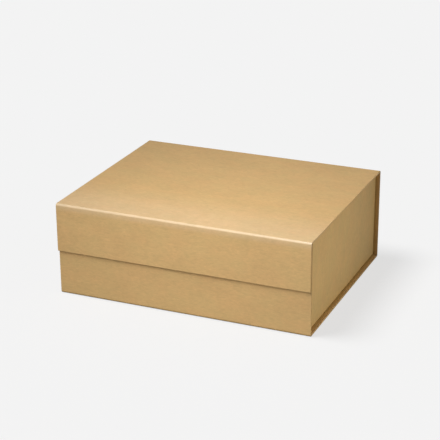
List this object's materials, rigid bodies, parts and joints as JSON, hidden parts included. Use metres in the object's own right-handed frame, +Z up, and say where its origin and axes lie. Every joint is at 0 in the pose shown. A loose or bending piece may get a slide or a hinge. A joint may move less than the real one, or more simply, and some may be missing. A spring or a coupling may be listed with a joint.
{
  "type": "hinged-lid cardboard gift box",
  "caption": "Rigid cardboard gift box covered in plain kraft paper, with a hinged lid and a magnetic flap that closes over the front wall; side walls stand set in on the base.",
  "frame": {"origin": "middle of the closed box's underside", "axes": "+X along the box's width, -Y towards the front flap, +Z up"},
  "size_m": [0.33, 0.265, 0.12],
  "materials": {
    "kraft": "smooth unbleached kraft paper with a faint sheen",
    "kraft_lining": "matt unbleached kraft paper",
    "greyboard": "raw grey board",
    "tape": "double-sided adhesive tape",
    "steel": "thin steel sheet",
    "magnet": "nickel-plated magnet"
  },
  "bodies": {
    "tray": {"base_board": "greyboard", "front_board": "greyboard", "back_board": "greyboard", "tray_wrap": "kraft", "tray_lining": "kraft_lining", "right_side_board": "greyboard", "right_front_tab_board": "greyboard", "right_back_tab_board": "greyboard", "right_side_wrap": "kraft", "right_side_lining": "kraft_lining", "left_side_board": "greyboard", "left_front_tab_board": "greyboard", "left_back_tab_board": "greyboard", "left_side_wrap": "kraft", "left_side_lining": "kraft_lining", "right_front_tape": "tape", "right_back_tape": "tape", "left_front_tape": "tape", "left_back_tape": "tape", "right_plate": "steel", "left_plate": "steel"},
    "lid": {"lid_board": "greyboard", "lid_wrap": "kraft", "lid_lining": "kraft_lining"},
    "flap": {"flap_board": "greyboard", "flap_wrap": "kraft", "flap_lining": "kraft_lining", "right_magnet": "magnet", "left_magnet": "magnet"}
  },
  "joints": [
    {"name": "lid_hinge", "type": "hinge", "parent": "tray", "child": "lid", "pos_m": [0, 0.1319, 0.1194], "axis": [-1, 0, 0], "range_deg": [0, 179]},
    {"name": "flap_hinge", "type": "hinge", "parent": "lid", "child": "flap", "pos_m": [0, -0.1319, 0.1194], "axis": [-1, 0, 0], "range_deg": [0, 179]}
  ]
}
